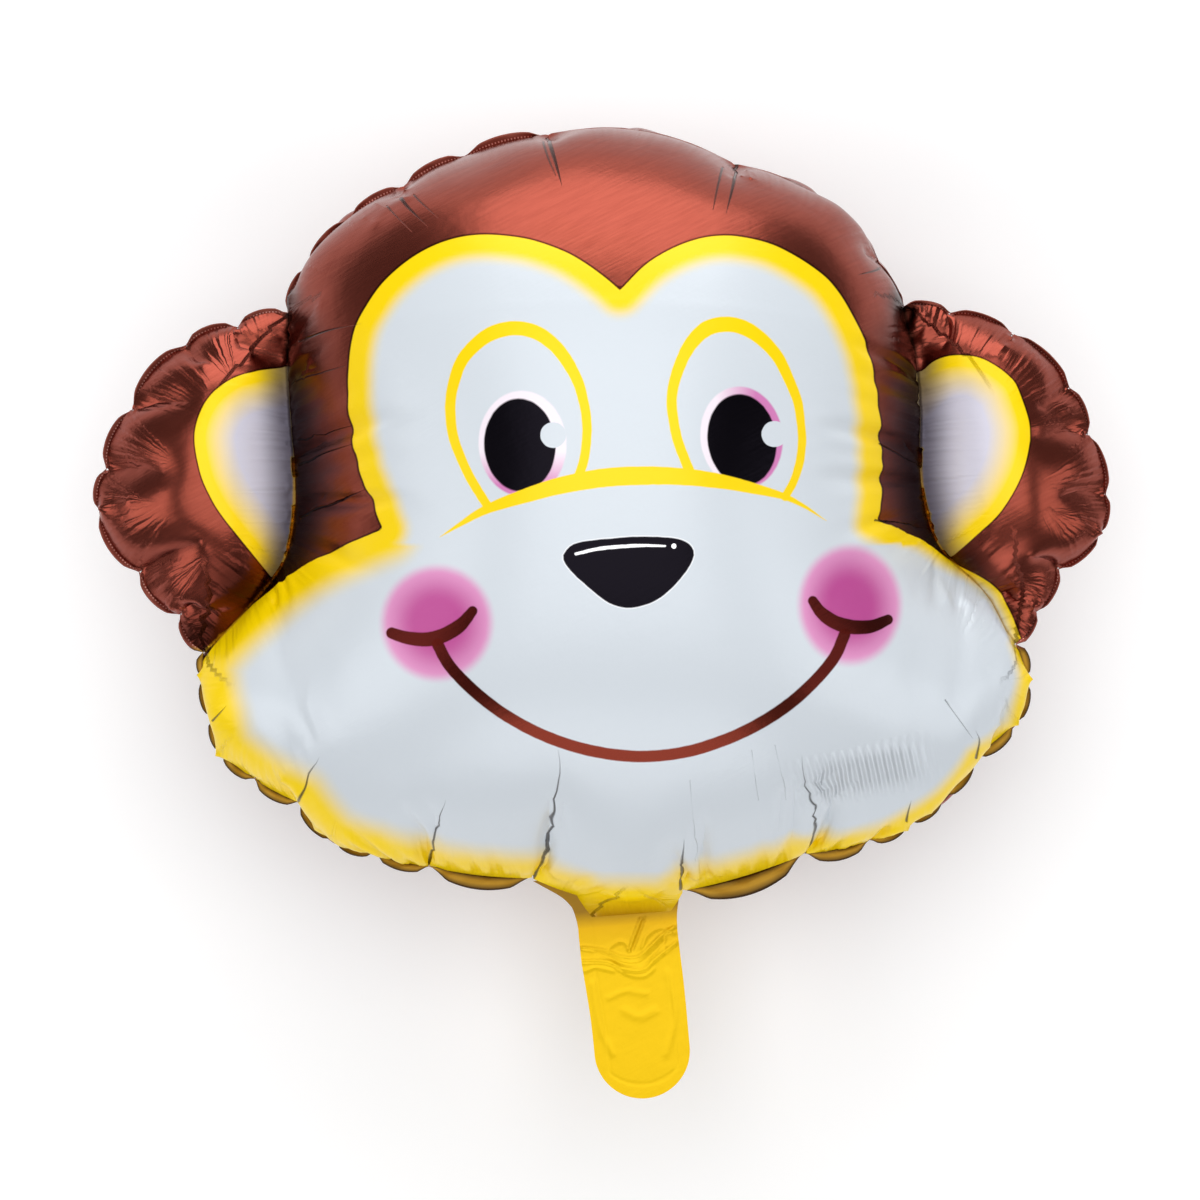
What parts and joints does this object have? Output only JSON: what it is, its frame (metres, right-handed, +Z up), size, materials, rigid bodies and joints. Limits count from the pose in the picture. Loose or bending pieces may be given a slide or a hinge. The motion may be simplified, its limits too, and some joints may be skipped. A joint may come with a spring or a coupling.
{
  "type": "foil balloon",
  "caption": "Monkey-head foil balloon, blown up and lying on its back: round ears with a seal line at the root, wide jowls, a pinched sealed margin and a flat filling tail.",
  "frame": {"origin": "middle of the footprint, on the ground, with the balloon lying on its back", "axes": "+X across the face from the left ear to the right ear as seen from above, +Y from the tail towards the crown, +Z up out of the face"},
  "size_m": [0.6042, 0.5778, 0.2575],
  "materials": {
    "printed_foil": "metallised polyester film, mirror-like and printed: brown crown, ears and back, white face edged with yellow, yellow tail"
  },
  "bodies": {
    "root": {"foil_balloon": "printed_foil"}
  },
  "joints": []
}
